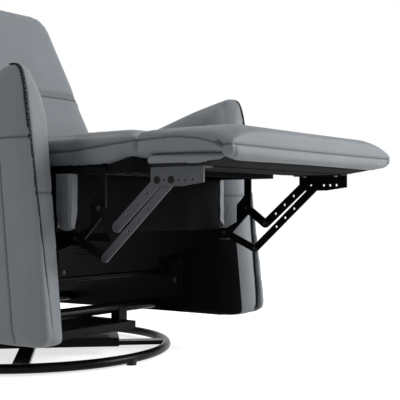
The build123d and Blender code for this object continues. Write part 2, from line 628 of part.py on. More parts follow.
save("legrest_pad", pad & extrude(Plane.XZ * pad_across, pad_reach))
flange_in = bracket_out - BRACKET_FLANGE
flange_low = BOARD_LOW_Z - BRACKET_THICK
drop_z = BOARD_LOW_Z - BRACKET_DROP
bracket_run = BRACKET_REAR_Y + BRACKET_RUN * (BRACKET_FRONT_Y - BRACKET_REAR_Y)
bracket_points = [
    (BRACKET_REAR_Y, BOARD_LOW_Z),
    (BRACKET_REAR_Y, drop_z + BRACKET_CORNER),
    (BRACKET_REAR_Y - BRACKET_CORNER, drop_z),
    (bracket_run, drop_z),
    (BRACKET_FRONT_Y, drop_z + BRACKET_RISE),
    (BRACKET_FRONT_Y, BOARD_LOW_Z),
]
bracket_sketch = outline(bracket_points)
for y in (PIVOT_REAR_Y, PIVOT_FRONT_Y):
    bracket_sketch = bracket_sketch - Pos(y, PIVOT_Z) * Circle(RIVET / 2)
spare_holes = [PIVOT_REAR_Y - HOLE_PITCH] + [PIVOT_FRONT_Y - HOLE_PITCH * (i + 1) for i in range(3)]
for y in spare_holes:
    bracket_sketch = bracket_sketch - Pos(y, PIVOT_Z) * Circle(SPARE_HOLE / 2)
flange = slab(flange_in, bracket_in, BRACKET_FRONT_Y, BRACKET_REAR_Y, flange_low, BOARD_LOW_Z)
save_pair("legrest_bracket", plate_yz(bracket_sketch, bracket_in, bracket_out) + flange)
screw_x = (flange_in + bracket_in) / 2
screws = []
for y in (BRACKET_REAR_Y - SCREW_INSET, BRACKET_FRONT_Y + SCREW_INSET):
    screw = Pos(screw_x, y, flange_low - SCREW_HEAD_THICK / 2) * Cylinder(SCREW_HEAD / 2, SCREW_HEAD_THICK)
    screws += [screw, other_side(screw)]
save("legrest_screws", Compound(children=screws))
cover_half = flange_in - COVER_GAP
cover_low = BOARD_LOW_Z - COVER_THICK
cover_front = BRACKET_FRONT_Y
cover_rear = BOARD_REAR_Y - COVER_INSET
save("legrest_cover", slab(-cover_half, cover_half, cover_front, cover_rear, cover_low, BOARD_LOW_Z))
rivets = []
for y, z in (rear_pivot, front_pivot):
    rivet = pin_along_x(y, z, RIVET, link_in, bracket_out)
    rivet = rivet + pin_along_x(y, z, RIVET_HEAD, bracket_out, bracket_out + RIVET_HEAD_THICK)
    rivets += [rivet, other_side(rivet)]
save("bracket_rivets", Compound(children=rivets))

# Links: short cranks on the seat plates, long links from the cranks up to the brackets
hole_wide = RIVET + 2 * HOLE_GAP
for name, foot_point, knee, pivot, width in (
    ("rear", rear_foot, rear_knee, rear_pivot, REAR_LINK_WIDTH),
    ("front", front_foot, front_knee, front_pivot, FRONT_LINK_WIDTH),
):
    crank = link_sketch(foot_point, knee, width, hole_wide)
    crank = crank + Pos(*knee) * (Circle(width / 2) - Circle(RIVET / 2))
    save_pair(f"crank_{name}", plate_yz(crank, crank_in, crank_out))
    link = link_sketch(knee, pivot, width, hole_wide)
    reach = hypot(pivot[0] - knee[0], pivot[1] - knee[1])
    for i in (-1, 0, 1):
        part_way = 0.5 + i * 2 * HOLE_PITCH / reach
        spot = [k + part_way * (p - k) for k, p in zip(knee, pivot)]
        link = link - Pos(*spot) * Circle(SPARE_HOLE / 2)
    save_pair(f"link_{name}", plate_yz(link, link_in, link_out))
    knee_pin = pin_along_x(knee[0], knee[1], RIVET, crank_in, link_out)
    save(f"crank_{name}_rivets", Compound(children=[knee_pin, other_side(knee_pin)]))

# Backrest, drawn upright from its front face at y 0 and then leaned back
lay_back = Pos(0, BACK_Y, BACK_Z) * Rot(X=-BACK_ANGLE)
frame_front = BACK_HINGE_DEPTH - HINGE_SET
frame_rear = frame_front + FRAME_DEPTH
frame_high = HEAD_HIGH - PANEL_RIM


def back_pad(low, high, edge, top_corner):
    shape = cushion(2 * BACK_HALF, high - low, edge, BACK_CROWN, BACK_CORNER, top_corner)
    return lay_back * Pos(0, frame_front, (low + high) / 2) * Rot(X=90) * shape


save("lumbar_cushion", back_pad(LUMBAR_LOW, LUMBAR_HIGH, LUMBAR_DEPTH, BACK_CORNER))
save("head_cushion", back_pad(LUMBAR_HIGH + SEAM_GAP, HEAD_HIGH, HEAD_DEPTH, HEAD_CORNER))
upright = slab(upright_in, UPRIGHT_OUT, frame_front, frame_rear, FRAME_LOW, frame_high)
frame = upright + other_side(upright)
frame = frame + slab(-upright_in, upright_in, frame_front, frame_rear, frame_high - FRAME_RAIL, frame_high)
frame = frame + slab(-upright_in, upright_in, frame_front, frame_rear, FRAME_LOW, FRAME_LOW + FRAME_RAIL)
frame_corners = frame.edges().filter_by(Axis.Y).group_by(Axis.Z)[-1]
frame = fillet(frame_corners, FRAME_CORNER)
save("back_frame", lay_back * frame)
panel = slab(-BACK_HALF, BACK_HALF, frame_front, frame_rear + PANEL_THICK, PANEL_LOW, HEAD_HIGH)
panel = fillet(panel.edges().filter_by(Axis.Y).group_by(Axis.Z)[-1], PANEL_CORNER)
rim_in = BACK_HALF - PANEL_RIM
tray = slab(-rim_in, rim_in, 0, frame_rear, 0, frame_high)
tray = fillet(tray.edges().filter_by(Axis.Y).group_by(Axis.Z)[-1], PANEL_CORNER - PANEL_RIM)
save("back_panel", lay_back * (panel - tray))
bracket_low = BACK_HINGE_UP - BACK_BRACKET_WIDTH / 2
back_bracket = slab(
    UPRIGHT_OUT,
    UPRIGHT_OUT + BACK_BRACKET_THICK,
    BACK_HINGE_DEPTH - BACK_BRACKET_WIDTH / 2,
    frame_rear,
    bracket_low,
    bracket_low + BACK_BRACKET_RISE,
)
hinge_hole = pin_along_x(BACK_HINGE_DEPTH, BACK_HINGE_UP, HINGE_PIN + 2 * HOLE_GAP, 0, 2 * UPRIGHT_OUT)
save_pair("back_bracket", lay_back * (back_bracket - hinge_hole))
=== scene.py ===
import bmesh
import bpy
import math
import numpy as np
from mathutils import Matrix, Vector
from mathutils.bvhtree import BVHTree
from mathutils.kdtree import KDTree


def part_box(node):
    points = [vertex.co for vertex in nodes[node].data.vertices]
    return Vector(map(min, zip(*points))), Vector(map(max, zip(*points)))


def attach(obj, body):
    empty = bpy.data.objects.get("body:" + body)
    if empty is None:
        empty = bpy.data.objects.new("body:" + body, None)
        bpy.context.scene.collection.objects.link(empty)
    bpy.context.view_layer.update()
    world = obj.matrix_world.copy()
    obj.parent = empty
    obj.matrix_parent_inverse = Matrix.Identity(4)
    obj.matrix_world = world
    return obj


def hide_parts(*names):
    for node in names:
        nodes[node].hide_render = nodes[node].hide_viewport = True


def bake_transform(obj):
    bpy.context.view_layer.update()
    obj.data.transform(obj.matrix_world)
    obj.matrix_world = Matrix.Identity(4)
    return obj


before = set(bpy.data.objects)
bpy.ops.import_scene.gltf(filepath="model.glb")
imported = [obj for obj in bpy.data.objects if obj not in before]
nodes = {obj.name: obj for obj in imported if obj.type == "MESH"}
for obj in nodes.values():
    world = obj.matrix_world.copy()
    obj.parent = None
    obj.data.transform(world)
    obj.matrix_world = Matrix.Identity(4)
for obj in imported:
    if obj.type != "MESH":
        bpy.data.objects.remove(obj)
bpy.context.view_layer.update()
scene = bpy.context.scene
scene.view_settings.view_transform = "Standard"

# Floor ring and swivel base
# Bent round tube with a flat cross welded inside it and a ball bearing on top, all in black powder coat.
# The coat is finely speckled, a little glossy, and rubbed slightly paler in places.


def shader(name, rough, metal=0.0, specular=0.5):
    material = bpy.data.materials.new(name)
    material.use_nodes = True
    body = material.node_tree.nodes["Principled BSDF"]
    body.inputs["Roughness"].default_value = rough
    body.inputs["Metallic"].default_value = metal
    body.inputs["Specular IOR Level"].default_value = specular
    return material, body


def texture(material, kind, scale, **settings):
    tree = material.node_tree
    place = tree.nodes.get("Texture Coordinate") or tree.nodes.new("ShaderNodeTexCoord")
    made = tree.nodes.new(kind)
    made.inputs["Scale"].default_value = scale
    for key, value in settings.items():
        made.inputs[key].default_value = value
    tree.links.new(place.outputs["Object"], made.inputs["Vector"])
    return made


def ramp(material, source, low, high, start=0.3, stop=0.7):
    made = material.node_tree.nodes.new("ShaderNodeValToRGB")
    made.color_ramp.elements[0].position = start
    made.color_ramp.elements[1].position = stop
    made.color_ramp.elements[0].color = (*low, 1)
    made.color_ramp.elements[1].color = (*high, 1)
    material.node_tree.links.new(source, made.inputs["Fac"])
    return made.outputs["Color"]


def bump(material, body, source, strength, distance, before=None):
    made = material.node_tree.nodes.new("ShaderNodeBump")
    made.inputs["Strength"].default_value = strength
    made.inputs["Distance"].default_value = distance
    material.node_tree.links.new(source, made.inputs["Height"])
    if before is not None:
        material.node_tree.links.new(before, made.inputs["Normal"])
    material.node_tree.links.new(made.outputs["Normal"], body.inputs["Normal"])
    return made.outputs["Normal"]


def powder_coat(name, dark, pale, rough, specular):
    material, body = shader(name, rough, specular=specular)
    cloud = texture(material, "ShaderNodeTexNoise", 14, Detail=4)
    color = ramp(material, cloud.outputs["Fac"], dark, pale)
    material.node_tree.links.new(color, body.inputs["Base Color"])
    speck = texture(material, "ShaderNodeTexNoise", 900, Detail=2)
    rougher = ramp(material, speck.outputs["Fac"], (rough - 0.1,) * 3, (rough + 0.12,) * 3)
    material.node_tree.links.new(rougher, body.inputs["Roughness"])
    bump(material, body, speck.outputs["Fac"], 0.2, 0.0003)
    return material


def dress(names, material):
    for name in names:
        nodes[name].data.materials.clear()
        nodes[name].data.materials.append(material)


def sides(name):
    return [f"{name}_left", f"{name}_right"]


black_coat = powder_coat("black_powder_coat", (0.002, 0.002, 0.0025), (0.004, 0.004, 0.005), 0.24, 0.09)
dress(["base_ring", "base_cross", "base_plate", "king_pin"], black_coat)
glide_plastic = powder_coat("glide_plastic", (0.005, 0.005, 0.005), (0.011, 0.011, 0.011), 0.55, 0.25)
dress(["glide_feet"], glide_plastic)

# Swivel frame and base rails
# A square plate turning on the balls, two flat bars with a cross bar in front, and two round cross tubes.
# The tubes sit in welded saddles and carry the side plates at their ends.
dress(["swivel_plate", "saddle_brackets", "frame_bar_front"] + sides("frame_bar"), black_coat)
dress(["base_tube_front", "base_tube_rear"], black_coat)

# Steel mechanism
# Side plates, slide channels, seat plates, links and brackets stamped from sheet, in a thin dark finish.
# Screws and bearing balls are zinc plated, and bolts, rivets and springs are dark with oil.
link_painted_light = powder_coat("link_painted_light", (0.034, 0.037, 0.043), (0.052, 0.056, 0.064), 0.42, 0.35)
link_dark = powder_coat("link_dark", (0.002, 0.002, 0.003), (0.004, 0.004, 0.005), 0.40, 0.06)
# The near side's bracket and links get a paler copy of the same dark finish: painted light for the sheen they
# catch.
dress(["legrest_bracket_right", "link_rear_right", "link_front_right"], link_painted_light)
dress(["legrest_bracket_left", "link_rear_left", "link_front_left"], link_dark)
dress(sides("crank_rear") + sides("crank_front") + sides("seat_plate"), link_dark)
dress(sides("side_plate") + sides("slide_channel") + sides("back_bracket") + ["cross_rod"], link_dark)


def plated_steel(name, color, rough):
    material, body = shader(name, rough, metal=1.0)
    streak = texture(material, "ShaderNodeTexNoise", 260, Detail=3)
    tint = ramp(material, streak.outputs["Fac"], tuple(c * 0.7 for c in color), color)
    material.node_tree.links.new(tint, body.inputs["Base Color"])
    bump(material, body, streak.outputs["Fac"], 0.15, 0.0002)
    return material


zinc = plated_steel("zinc_plate", (0.3, 0.3, 0.31), 0.42)
dark_rivet = plated_steel("dark_rivet", (0.06, 0.062, 0.068), 0.45)
dress(["legrest_screws", "bearing_balls"], zinc)
dress(["arm_bolts", "crank_rear_rivets", "crank_front_rivets", "pivot_pins", "seat_springs"], dark_rivet)
dress(["bracket_rivets"], black_coat)

# Timber and wrapped rails inside
# Plywood boards in the arms are bare, with the grain along their length.
# The seat rails and the backrest frame are wrapped in black lining cloth, stapled on.
timber, timber_body = shader("bare_timber", 0.7)
grain_turn = timber.node_tree.nodes.new("ShaderNodeMapping")
grain_turn.inputs["Scale"].default_value = (9, 9, 1.2)
grain = texture(timber, "ShaderNodeTexNoise", 18, Detail=6, Distortion=1.4)
timber_place = timber.node_tree.nodes["Texture Coordinate"].outputs["Object"]
timber.node_tree.links.new(timber_place, grain_turn.inputs["Vector"])
timber.node_tree.links.new(grain_turn.outputs["Vector"], grain.inputs["Vector"])
timber_color = ramp(timber, grain.outputs["Fac"], (0.33, 0.21, 0.11), (0.56, 0.4, 0.23))
timber.node_tree.links.new(timber_color, timber_body.inputs["Base Color"])
bump(timber, timber_body, grain.outputs["Fac"], 0.3, 0.0006)
dress(sides("arm_board"), timber)


def lining_cloth(name, dark, pale):
    material, body = shader(name, 0.9, specular=0.05)
    across = texture(material, "ShaderNodeTexWave", 420, Distortion=0.4)
    along = texture(material, "ShaderNodeTexWave", 420, Distortion=0.4)
    along.bands_direction = "Z"
    weave = material.node_tree.nodes.new("ShaderNodeMath")
    weave.operation = "MULTIPLY"
    material.node_tree.links.new(across.outputs["Fac"], weave.inputs[0])
    material.node_tree.links.new(along.outputs["Fac"], weave.inputs[1])
    dust = texture(material, "ShaderNodeTexNoise", 22, Detail=5)
    color = ramp(material, dust.outputs["Fac"], dark, pale)
    material.node_tree.links.new(color, body.inputs["Base Color"])
    bump(material, body, weave.outputs["Value"], 0.35, 0.0005)
    return material


black_cloth = lining_cloth("black_lining", (0.004, 0.004, 0.005), (0.008, 0.008, 0.009))
dress(sides("seat_rail") + ["seat_rail_front", "seat_rail_rear", "back_frame"], black_cloth)

# Arms
# Foam over a board, covered in grey leatherette, with a wide rolled inner edge and sewn panels.
# Outside there is one level seam and one raked seam, and one level seam crosses the inside.


def leatherette(name, dark, pale, rough=0.48):
    material, body = shader(name, rough, specular=0.38)
    tree = material.node_tree
    patches = texture(material, "ShaderNodeTexNoise", 5, Detail=5, Roughness=0.6)
    color = ramp(material, patches.outputs["Fac"], dark, pale)
    # The crease shade layer mixes the colour towards a fifth of the dark tone: painted shade in seams,
    # creases and gathers.
    crease_shade_node = tree.nodes.new("ShaderNodeAttribute")
    crease_shade_node.attribute_name = "crease_shade"
    shade = tree.nodes.new("ShaderNodeMix")
    shade.data_type = "RGBA"
    shade.inputs["B"].default_value = (*[c * 0.22 for c in dark], 1)
    tree.links.new(crease_shade_node.outputs["Fac"], shade.inputs["Factor"])
    tree.links.new(color, shade.inputs["A"])
    tree.links.new(shade.outputs["Result"], body.inputs["Base Color"])
    pebbles = texture(material, "ShaderNodeTexVoronoi", 760)
    gloss = ramp(material, pebbles.outputs["Distance"], (rough - 0.08,) * 3, (rough + 0.14,) * 3, 0.0, 0.6)
    tree.links.new(gloss, body.inputs["Roughness"])
    creases = texture(material, "ShaderNodeTexNoise", 26, Detail=5, Distortion=0.8)
    soft = bump(material, body, creases.outputs["Fac"], 0.10, 0.004)
    bump(material, body, pebbles.outputs["Distance"], 0.16, 0.0005, before=soft)
    return material


grey_leather = leatherette("grey_leatherette", (0.168, 0.185, 0.201), (0.201, 0.219, 0.236))
seam_thread, seam_body = shader("seam_thread", 0.7)
seam_twist = texture(seam_thread, "ShaderNodeTexWave", 900)
seam_tint = ramp(seam_thread, seam_twist.outputs["Fac"], (0.05, 0.054, 0.06), (0.085, 0.09, 0.098))
seam_thread.node_tree.links.new(seam_tint, seam_body.inputs["Base Color"])
bump(seam_thread, seam_body, seam_twist.outputs["Fac"], 0.4, 0.0003)


def new_piece(name, made, material):
    mesh = bpy.data.meshes.new(name)
    made.to_mesh(mesh)
    made.free()
    for face in mesh.polygons:
        face.use_smooth = True
    mesh.materials.append(material)
    piece = bpy.data.objects.new(name, mesh)
    scene.collection.objects.link(piece)
    return piece


def outer_shell(node, shrink):
    # A merged copy of the CAD solid's outside, drawn in a little on each axis.
    made = bmesh.new()
    made.from_mesh(nodes[node].data)
    bmesh.ops.remove_doubles(made, verts=made.verts, dist=1e-5)
    islands = []
    left = set(made.verts)
    while left:
        island = set()
        edge = [left.pop()]
        while edge:
            vert = edge.pop()
            island.add(vert)
            for link in vert.link_edges:
                other = link.other_vert(vert)
                if other in left:
                    left.discard(other)
                    edge.append(other)
        islands.append(island)
    keep = max(islands, key=lambda part: max(v.co.y for v in part) - min(v.co.y for v in part))
    bmesh.ops.delete(made, geom=[v for v in made.verts if v not in keep], context="VERTS")
    low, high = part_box(node)
    middle = (low + high) / 2
    scale = [(size - 2 * shrink) / size for size in high - low]
    bmesh.ops.transform(made, matrix=Matrix.Translation(-middle), verts=made.verts)
    bmesh.ops.scale(made, vec=scale, verts=made.verts)
    bmesh.ops.transform(made, matrix=Matrix.Translation(middle), verts=made.verts)
    mesh = bpy.data.meshes.new(node)
    made.to_mesh(mesh)
    made.free()
    return mesh


def freeze(piece):
    shown = piece.evaluated_get(bpy.context.evaluated_depsgraph_get())
    mesh = bpy.data.meshes.new_from_object(shown)
    piece.modifiers.clear()
    piece.data = mesh


def read_points(piece, kind):
    values = np.empty(3 * len(piece.data.vertices))
    piece.data.vertices.foreach_get(kind, values)
    return values.reshape(-1, 3)


def write_points(piece, place):
    piece.data.vertices.foreach_set("co", place.ravel())
    piece.data.update()


SINK = 0.001


def puff(piece, pressure, cap, frames):
    # Blows the cover up like foam pressing on it. No point moves past the cap, or sinks far into the foam.
    start = read_points(piece, "co")
    out = read_points(piece, "normal")
    cloth = piece.modifiers.new("cover", "CLOTH")
    cloth.settings.use_pressure = True
    cloth.settings.uniform_pressure_force = pressure
    cloth.settings.tension_stiffness = 12
    cloth.settings.compression_stiffness = 12
    cloth.settings.bending_stiffness = 0.6
    cloth.settings.quality = 4
    cloth.settings.effector_weights.gravity = 0
    cloth.point_cache.frame_start = 1
    cloth.point_cache.frame_end = frames
    for step in range(1, frames + 1):
        scene.frame_set(step)
    freeze(piece)
    scene.frame_set(1)
    move = read_points(piece, "co") - start
    length = np.maximum(np.linalg.norm(move, axis=1), 1e-9)
    move *= np.minimum(1, cap / length)[:, None]
    sunk = np.maximum(-(move * out).sum(1) - SINK, 0)
    write_points(piece, start + move + out * sunk[:, None])


def relax(piece, rounds):
    made = bmesh.new()
    made.from_mesh(piece.data)
    for _ in range(rounds):
        bmesh.ops.smooth_vert(
            made, verts=made.verts, factor=0.5, use_axis_x=True, use_axis_y=True, use_axis_z=True
        )
    made.to_mesh(piece.data)
    made.free()


def rest_against(piece, walls):
    # Keeps the cover behind each wall, given as a point and the direction that is out of bounds.
    place = read_points(piece, "co")
    for point, out in walls:
        out = np.array(out) / np.linalg.norm(out)
        past = np.maximum((place - np.array(point)) @ out, 0)
        place -= past[:, None] * out
    write_points(piece, place)


def stuffed(solids, name, shrink, voxel, pressure, cap, walls=(), rounds=2, frames=20):
    # One padded cover over the CAD solids: skinned in even faces, blown up, and rounded off.
    made = bmesh.new()
    for node in solids:
        made.from_mesh(outer_shell(node, shrink))
    piece = new_piece(name, made, grey_leather)
    remesh = piece.modifiers.new("skin", "REMESH")
    remesh.mode = "VOXEL"
    remesh.voxel_size = voxel
    freeze(piece)
    relax(piece, rounds)
    puff(piece, pressure, cap, frames)
    relax(piece, 1)
    round_off = piece.modifiers.new("round_off", "SUBSURF")
    round_off.levels = 1
    round_off.render_levels = 1
    freeze(piece)
    rest_against(piece, walls)
    for face in piece.data.polygons:
        face.use_smooth = True
    # An empty layer of painted shade, filled in along seams and gathers.
    piece.data.attributes.new("crease_shade", "FLOAT", "POINT")
    return piece


STITCH = 0.0045
STITCH_PITCH = 0.0065
CAST_STEP = 0.002
CAST_OFF = 0.05


def sew(piece, casts, depth, width, pucker=0.0, dark=0.85):
    # Pulls a cover in along a sewn line, puckers it beside the line, paints shade into the colour along it as
    # strong as dark, and returns the line for its thread.
    made = bmesh.new()
    made.from_mesh(piece.data)
    tree = BVHTree.FromBMesh(made)
    made.free()
    path = []
    for start, aim in casts:
        spot, facing, _, _ = tree.ray_cast(Vector(start), Vector(aim))
        if spot is not None:
            path.append((spot, facing))
    finder = KDTree(len(path))
    for step, (spot, _) in enumerate(path):
        finder.insert(spot, step)
    finder.balance()
    place = read_points(piece, "co")
    facing = read_points(piece, "normal")
    shade_marks = np.empty(len(place))
    piece.data.attributes["crease_shade"].data.foreach_get("value", shade_marks)
    reach = (8 if pucker else 3) * width
    spots = np.array([spot for spot, _ in path])
    near = np.all((place > spots.min(0) - reach) & (place < spots.max(0) + reach), axis=1)
    for index in np.nonzero(near)[0]:
        _, step, away = finder.find(place[index])
        if away > reach:
            continue
        pull = depth * math.exp(-((away / width) ** 2))
        run = step * CAST_STEP
        wave = 0.5 + 0.5 * math.sin(run * 480 + 2.1 * math.sin(run * 130))
        pull += pucker * wave * math.exp(-away / (2.5 * width))
        place[index] -= facing[index] * pull
        # Painted shade, strongest on the line and fading beside it.
        shade_marks[index] = max(shade_marks[index], dark * math.exp(-((away / (0.7 * width)) ** 2)))
    write_points(piece, place)
    piece.data.attributes["crease_shade"].data.foreach_set("value", shade_marks)
    return [spot - out * (depth - 0.0003) for spot, out in path]


def thread(name, body, lines):
    # Short stitches of tonal thread along each sewn line.
    made = bmesh.new()
    skip = round(STITCH_PITCH / CAST_STEP)
    for line in lines:
        for start, end in zip(line[::skip], line[skip::skip]):
            along = end - start
            if not 1e-4 < along.length < 3 * STITCH_PITCH:
                continue
            turn = along.to_track_quat("Z", "Y").to_matrix().to_4x4()
            bmesh.ops.create_cone(
                made,
                cap_ends=True,
                segments=5,
                radius1=0.0005,
                radius2=0.0005,
                depth=STITCH,
                matrix=Matrix.Translation((start + end) / 2) @ turn,
            )
    piece = new_piece(name, made, seam_thread)
    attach(piece, body)


def along(points, aim, step=CAST_STEP):
    # Casts at even steps along straight runs between points, all in one direction.
    casts = []
    for start, end in zip(points, points[1:]):
        start = Vector(start)
        end = Vector(end)
        count = max(1, round((end - start).length / step))
        casts += [(start.lerp(end, i / count), aim) for i in range(count)]
    return casts


ARM_INNER = 0.252
ARM_OUTER = 0.348
ARM_EDGE = 0.007
ARM_ROLL = 0.084
ARM_FRONT_LOW = (-0.430, 0.084)
ARM_FRONT_TOP = (-0.370, 0.608)
ARM_DIP = (-0.020, 0.503)
arm_rake = (ARM_FRONT_TOP[0] - ARM_FRONT_LOW[0]) / (ARM_FRONT_TOP[1] - ARM_FRONT_LOW[1])


def arm_front(z):
    return ARM_FRONT_LOW[0] + arm_rake * (z - ARM_FRONT_LOW[1])


ROLL_STEPS = 70
ROLL_FIRST = 268
ROLL_SWEEP = 88


def roll_casts(side, z, rear):
    # Casts at one height from the zip edge round the rolled inner edge and back along the inner face.
    middle = arm_front(z) + ARM_ROLL
    wide = ARM_OUTER - ARM_EDGE - ARM_INNER
    casts = []
    for i in range(ROLL_STEPS):
        turn = math.radians(ROLL_FIRST - ROLL_SWEEP * i / (ROLL_STEPS - 1))
        out = Vector((side * math.cos(turn) / wide, math.sin(turn) / ARM_ROLL, 0)).normalized()
        x = side * (ARM_OUTER - ARM_EDGE + wide * math.cos(turn))
        spot = Vector((x, middle + ARM_ROLL * math.sin(turn), z))
        casts.append((spot + out * CAST_OFF, -out))
    inner = side * (ARM_INNER - CAST_OFF)
    return casts + along([(inner, middle, z), (inner, rear, z)], (side, 0, 0))


LINING_TOP = ((0, -0.30, 0.262), (0, 0.05, 0.274))
LINING_X = 0.284
LINING_REAR_Y = 0.250


def line_with_cloth(arm, side):
    # Cuts the cover along the edges of the black cloth that lines its lower inside, and marks those faces.
    made = bmesh.new()
    made.from_mesh(arm.data)
    low = Vector(LINING_TOP[0])
    run = Vector(LINING_TOP[1]) - low
    above = Vector((0, -run.z, run.y)).normalized()
    side_cut = ((side * LINING_X, 0, 0), (1, 0, 0))
    rear_cut = ((0, LINING_REAR_Y, 0), (0, 1, 0))
    for point, across in ((low, above), side_cut, rear_cut):
        geom = [*made.verts, *made.edges, *made.faces]
        bmesh.ops.bisect_plane(made, geom=geom, plane_co=point, plane_no=across, dist=1e-6)
    for face in made.faces:
        spot = face.calc_center_median()
        if (spot - low).dot(above) < 0 and side * spot.x < LINING_X and spot.y < LINING_REAR_Y:
            face.material_index = 1
    made.to_mesh(arm.data)
    made.free()


ZIP_LANE_Z = (0.084, 0.524)
ZIP_LANE_X = (0.323, 0.341)
LIP_Z = (0.09, 0.35)
LIP_FORWARD = (0.009, 0.005)
LIP_RAMP = 0.004
LIP_DEPTH = 0.030
LIP_FADE = 0.025
LIP_TOP_Z = 0.600
LIP_TOP_FADE = 0.05


def lip_forward(arm, side):
    # Brings the narrow strip outside the zip forward of the wide strip inside it.
    place = read_points(arm, "co")
    lane = np.interp(place[:, 2], ZIP_LANE_Z, ZIP_LANE_X)
    beyond = np.clip((side * place[:, 0] - lane) / LIP_RAMP, 0, 1)
    front = np.clip((arm_front(place[:, 2]) + LIP_DEPTH - place[:, 1]) / LIP_FADE, 0, 1)
    top = np.clip((LIP_TOP_Z - place[:, 2]) / LIP_TOP_FADE, 0, 1)
    place[:, 1] -= np.interp(place[:, 2], LIP_Z, LIP_FORWARD) * beyond * front * top
    write_points(arm, place)


TIP_Z = (0.500, 0.520, 0.545, 0.560, 0.590, 0.610)
TIP_TRIM = (0.0, 0.003, 0.008, 0.012, 0.021, 0.026)
TIP_SHARES = (0.7, 0.6, 0.35)
TIP_EDGE = 0.008
TIP_ACROSS = 0.055
TIP_DEPTH = 0.13
TIP_FADE = 0.09
CROWN_Z = 0.545
CROWN_RISE = 0.06
CROWN_DEPTH = 0.045
CROWN_FADE = 0.05
CROWN_BACK = 0.009
CROWN_DOWN = 0.004


def taper_tip(arm, side):
    # Draws the inner upper corner of the front in towards the zip, so that the front narrows to a tip.
    place = read_points(arm, "co")
    trim = np.interp(place[:, 2], TIP_Z, TIP_TRIM)
    inner = np.clip((ARM_OUTER - TIP_EDGE - side * place[:, 0]) / TIP_ACROSS, 0, 1)
    front = np.clip((arm_front(place[:, 2]) + TIP_DEPTH - place[:, 1]) / TIP_FADE, 0, 1)
    pull = trim * inner * front
    place[:, 0] += side * TIP_SHARES[0] * pull
    place[:, 1] += TIP_SHARES[1] * pull
    place[:, 2] -= TIP_SHARES[2] * pull
    crown = np.clip((place[:, 2] - CROWN_Z) / CROWN_RISE, 0, 1)
    crown *= np.clip((ARM_FRONT_TOP[0] + CROWN_DEPTH - place[:, 1]) / CROWN_FADE, 0, 1)
    place[:, 1] += CROWN_BACK * crown
    place[:, 2] -= CROWN_DOWN * crown
    write_points(arm, place)


LEVEL_SEAM_Z = 0.459
RAKED_SEAM = ((-0.308, LEVEL_SEAM_Z), (-0.351, 0.090))
LEVEL_SEAM_REAR_Y = 0.262
INNER_SEAM_Z = 0.360
INNER_SEAM_REAR_Y = 0.24
ARM_LIMITS = (0.2515, 0.351)
BEHIND_ARM_Y = 0.35
arm_covers = {}
for hand, side in (("right", -1), ("left", 1)):
    arm = stuffed(
        [f"arm_{hand}"],
        f"arm_cover_{hand}",
        shrink=0.001,
        voxel=0.006,
        pressure=3.0,
        cap=0.003,
        walls=[((side * ARM_LIMITS[0], 0, 0), (-side, 0, 0)), ((side * ARM_LIMITS[1], 0, 0), (side, 0, 0))],
        rounds=1,
        frames=12,
    )
    arm.data.materials.append(black_cloth)
    line_with_cloth(arm, side)
    lip_forward(arm, side)
    taper_tip(arm, side)
    beyond = side * (ARM_OUTER + CAST_OFF)
    seam_front = (beyond, arm_front(LEVEL_SEAM_Z) + 0.004, LEVEL_SEAM_Z)
    seam_rear = (beyond, LEVEL_SEAM_REAR_Y, LEVEL_SEAM_Z)
    rear_outer = (side * (ARM_OUTER - 0.004), BEHIND_ARM_Y, LEVEL_SEAM_Z)
    rear_inner = (side * (ARM_INNER + 0.01), BEHIND_ARM_Y, LEVEL_SEAM_Z)
    level_casts = along([seam_front, seam_rear], (-side, 0, 0))
    level_casts += along([rear_outer, rear_inner], (0, -1, 0))
    raked = along([(beyond, *RAKED_SEAM[0]), (beyond, *RAKED_SEAM[1])], (-side, 0, 0))
    # Each seam also gets a line of painted shade.
    seams = [
        sew(arm, level_casts, depth=0.0022, width=0.0032, pucker=0.0005),
        sew(arm, raked, depth=0.0022, width=0.0032, pucker=0.0005),
        sew(arm, roll_casts(side, INNER_SEAM_Z, INNER_SEAM_REAR_Y), 0.002, 0.003, pucker=0.0004, dark=0.6),
    ]
    thread(f"arm_thread_{hand}", "chassis", seams)
    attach(arm, "chassis")
    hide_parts(f"arm_{hand}")
    arm_covers[hand] = arm

# Zips
# A coarse black zip sewn into the outer front edge of each arm, from near the floor up and over the top.
# Teeth close on a woven tape that is sunk between two lips of the cover.
ZIP_LOW_Z = 0.097
ZIP_OVER = 0.045
ZIP_BEND = 0.036
TAPE_HALF = 0.0036
TAPE_THICK = 0.0012
TAPE_PROUD = 0.0020
TOOTH_PITCH = 0.0032
TOOTH = (0.0046, 0.0021, 0.0018)
TOOTH_EDGE = 0.0004
TOOTH_SHIFT = 0.0009
TOOTH_PROUD = 0.0010
LANE_ROUNDS = 40
RUN_STEPS = 200
BEND_STEPS = 30
OVER_STEPS = 5
ZIP_CAST_OFF = 0.04
zip_tape = lining_cloth("zip_tape", (0.010, 0.010, 0.011), (0.020, 0.020, 0.022))
zip_teeth = powder_coat("zip_teeth", (0.010, 0.010, 0.011), (0.022, 0.023, 0.025), 0.45, 0.35)
corner = Vector((0, *ARM_FRONT_TOP))
front_run = (corner - Vector((0, *ARM_FRONT_LOW))).normalized()
crest_run = (Vector((0, *ARM_DIP)) - corner).normalized()
bend_start = corner - front_run * ZIP_BEND
bend_end = corner + crest_run * ZIP_BEND
zip_low = Vector((0, arm_front(ZIP_LOW_Z), ZIP_LOW_Z))
zip_route = [zip_low.lerp(bend_start, i / RUN_STEPS) for i in range(RUN_STEPS)]
for i in range(BEND_STEPS):
    t = i / (BEND_STEPS - 1)
    zip_route.append((1 - t) ** 2 * bend_start + 2 * t * (1 - t) * corner + t**2 * bend_end)
for i in range(1, OVER_STEPS + 1):
    zip_route.append(bend_end + crest_run * (ZIP_OVER - ZIP_BEND) * i / OVER_STEPS)


